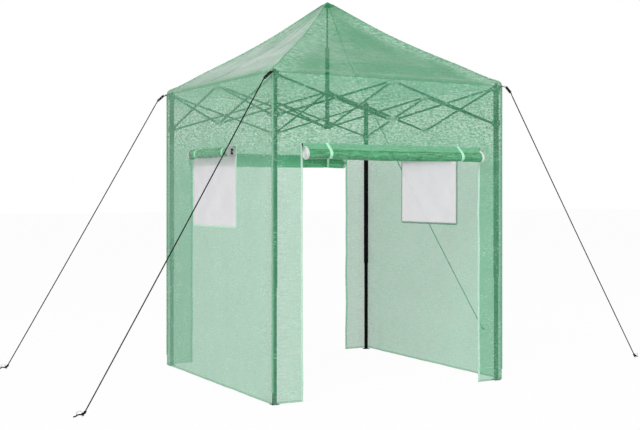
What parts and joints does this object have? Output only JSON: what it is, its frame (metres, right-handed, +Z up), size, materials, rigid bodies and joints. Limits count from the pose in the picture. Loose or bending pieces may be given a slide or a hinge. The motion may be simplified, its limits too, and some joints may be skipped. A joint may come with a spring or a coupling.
{
  "type": "pop-up greenhouse",
  "caption": "Small walk-in greenhouse with a folding steel frame, a fitted cover of green woven film, rolled-up doors and flaps, mesh windows and guy ropes.",
  "frame": {"origin": "on the ground in the middle of the four legs; the ground is at z = 0", "axes": "+Z up, -Y out of the front door, +Y out of the back door, +X to the right as seen from the front"},
  "size_m": [4.032, 2.0472, 2.405],
  "materials": {
    "steel": "black powder coat, satin",
    "joint_plastic": "moulded, pale grey",
    "zinc": "zinc plated, dulled",
    "cover": "woven film, translucent, slightly glossy and creased",
    "rolled_cover": "many layers of the same film, rolled up, glossy",
    "window_mesh": "fine white insect mesh",
    "webbing": "woven tape, pale green",
    "black_plastic": "moulded, black",
    "rope": "twisted black cord"
  },
  "bodies": {
    "root": {"front_left_upper_leg": "steel", "front_right_upper_leg": "steel", "back_left_upper_leg": "steel", "back_right_upper_leg": "steel", "front_left_lower_leg": "steel", "front_right_lower_leg": "steel", "back_left_lower_leg": "steel", "back_right_lower_leg": "steel", "foot_plates": "steel", "leg_top_brackets": "black_plastic", "leg_sliders": "black_plastic", "front_truss": "steel", "right_truss": "steel", "back_truss": "steel", "left_truss": "steel", "inner_truss": "steel", "upper_truss_joints": "joint_plastic", "lower_truss_joints": "joint_plastic", "upper_hub": "black_plastic", "lower_hub": "black_plastic", "pivot_pins": "zinc", "pivot_washers": "joint_plastic", "centre_pole": "steel", "centre_rod": "steel", "peak_cap": "black_plastic", "front_roof": "cover", "right_roof": "cover", "back_roof": "cover", "left_roof": "cover", "left_wall": "cover", "right_wall": "cover", "front_left_strip": "cover", "front_right_strip": "cover", "front_header": "cover", "back_left_strip": "cover", "back_right_strip": "cover", "back_header": "cover", "front_door_roll": "rolled_cover", "back_door_roll": "rolled_cover", "door_zips": "webbing", "left_window_mesh": "window_mesh", "right_window_mesh": "window_mesh", "left_flap_roll": "rolled_cover", "right_flap_roll": "rolled_cover", "roll_ties": "webbing", "eave_loops": "rope", "rope_tighteners": "black_plastic", "guy_ropes": "rope", "ground_pegs": "steel"}
  },
  "joints": []
}
